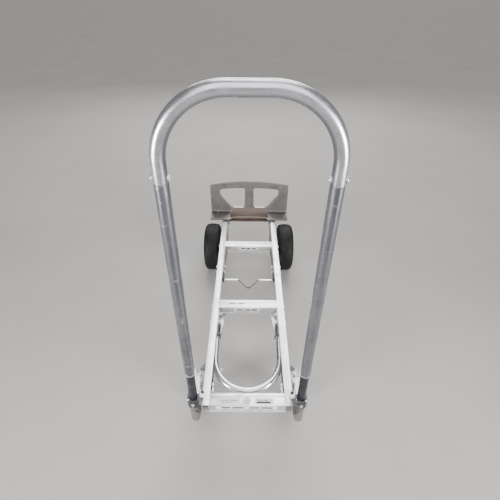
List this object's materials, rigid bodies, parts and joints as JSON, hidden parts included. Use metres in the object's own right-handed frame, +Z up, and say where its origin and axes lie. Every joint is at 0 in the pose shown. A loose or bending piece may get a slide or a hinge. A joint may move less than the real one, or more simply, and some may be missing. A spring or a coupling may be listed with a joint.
{
  "type": "hand truck",
  "caption": "Convertible hand truck as a low platform cart: aluminium ladder frame, swinging loop handle, latches, pneumatic wheels, swivel casters and an upright nose plate.",
  "frame": {"origin": "on the floor under the middle of the truck's bounding box", "axes": "+X to the right, +Y from the handle end towards the nose plate, +Z up"},
  "size_m": [0.507, 1.2792, 1.2646],
  "materials": {
    "bright_aluminium": "satin, lightly scuffed",
    "cast_aluminium": "rough cast, worn",
    "dull_aluminium": "dull, weathered",
    "steel": "zinc plated",
    "dark_steel": "dark, oiled",
    "tyre": "matt black, ribbed",
    "grey_rubber": "matt",
    "rim_paint": "semi-gloss grey",
    "plastic": "moulded"
  },
  "bodies": {
    "frame": {"left_rail": "bright_aluminium", "right_rail": "bright_aluminium", "handle_end_crossbar": "bright_aluminium", "middle_crossbar": "bright_aluminium", "nose_end_crossbar": "bright_aluminium", "nose_plate": "cast_aluminium", "left_axle_bracket": "cast_aluminium", "right_axle_bracket": "cast_aluminium", "v_brace": "dull_aluminium", "axle": "steel", "left_axle_spacer": "steel", "right_axle_spacer": "steel", "left_axle_washer": "steel", "right_axle_washer": "steel", "left_cotter_pin": "steel", "right_cotter_pin": "steel", "left_caster_bracket": "dull_aluminium", "right_caster_bracket": "dull_aluminium", "left_caster_plate": "steel", "right_caster_plate": "steel", "u_brace": "bright_aluminium", "left_brace_clamp": "bright_aluminium", "right_brace_clamp": "bright_aluminium", "left_pivot_bracket": "dull_aluminium", "right_pivot_bracket": "dull_aluminium", "left_pivot_pin": "steel", "right_pivot_pin": "steel"},
    "handle": {"handle_loop": "bright_aluminium", "left_handle_leg": "dull_aluminium", "left_handle_bolt": "steel", "left_inner_tube": "dark_steel", "left_handle_foot": "grey_rubber", "left_pivot_collar": "dull_aluminium", "right_handle_leg": "dull_aluminium", "right_handle_bolt": "steel", "right_inner_tube": "dark_steel", "right_handle_foot": "grey_rubber", "right_pivot_collar": "dull_aluminium"},
    "left_latch": {"left_latch_spring": "steel", "left_lock_pin": "steel"},
    "left_wheel": {"left_tyre": "tyre", "left_rim": "rim_paint", "left_hub": "steel", "left_inner_bearing": "steel", "left_outer_bearing": "steel"},
    "left_caster": {"left_caster_fork": "steel", "left_caster_axle": "steel"},
    "left_caster_wheel": {"left_caster_tread": "grey_rubber", "left_caster_core": "plastic"},
    "right_latch": {"right_latch_spring": "steel", "right_lock_pin": "steel"},
    "right_wheel": {"right_tyre": "tyre", "right_rim": "rim_paint", "right_hub": "steel", "right_inner_bearing": "steel", "right_outer_bearing": "steel"},
    "right_caster": {"right_caster_fork": "steel", "right_caster_axle": "steel"},
    "right_caster_wheel": {"right_caster_tread": "grey_rubber", "right_caster_core": "plastic"}
  },
  "joints": [
    {"name": "handle_pivot", "type": "hinge", "parent": "frame", "child": "handle", "pos_m": [0, -0.57565, 0.272], "axis": [1, 0, 0], "range_deg": [0, 90]},
    {"name": "left_latch_flex", "type": "hinge", "parent": "handle", "child": "left_latch", "pos_m": [-0.1605, -0.60665, 0.4556], "axis": [0, -1, 0], "range_deg": [0, 4], "stiffness_Nm_per_rad": 2, "springref_deg": -5.73},
    {"name": "left_wheel_spin", "type": "hinge", "parent": "frame", "child": "left_wheel", "pos_m": [-0.2087, 0.45635, 0.136], "axis": [1, 0, 0], "continuous": true},
    {"name": "left_caster_swivel", "type": "hinge", "parent": "frame", "child": "left_caster", "pos_m": [-0.168, -0.46065, 0.148], "axis": [0, 0, 1], "continuous": true},
    {"name": "left_caster_spin", "type": "hinge", "parent": "left_caster", "child": "left_caster_wheel", "pos_m": [-0.168, -0.42565, 0.0635], "axis": [1, 0, 0], "continuous": true},
    {"name": "right_latch_flex", "type": "hinge", "parent": "handle", "child": "right_latch", "pos_m": [0.1605, -0.60665, 0.4556], "axis": [0, 1, 0], "range_deg": [0, 4], "stiffness_Nm_per_rad": 2, "springref_deg": -5.73},
    {"name": "right_wheel_spin", "type": "hinge", "parent": "frame", "child": "right_wheel", "pos_m": [0.2087, 0.45635, 0.136], "axis": [1, 0, 0], "continuous": true},
    {"name": "right_caster_swivel", "type": "hinge", "parent": "frame", "child": "right_caster", "pos_m": [0.168, -0.46065, 0.148], "axis": [0, 0, 1], "continuous": true},
    {"name": "right_caster_spin", "type": "hinge", "parent": "right_caster", "child": "right_caster_wheel", "pos_m": [0.168, -0.42565, 0.0635], "axis": [1, 0, 0], "continuous": true}
  ]
}
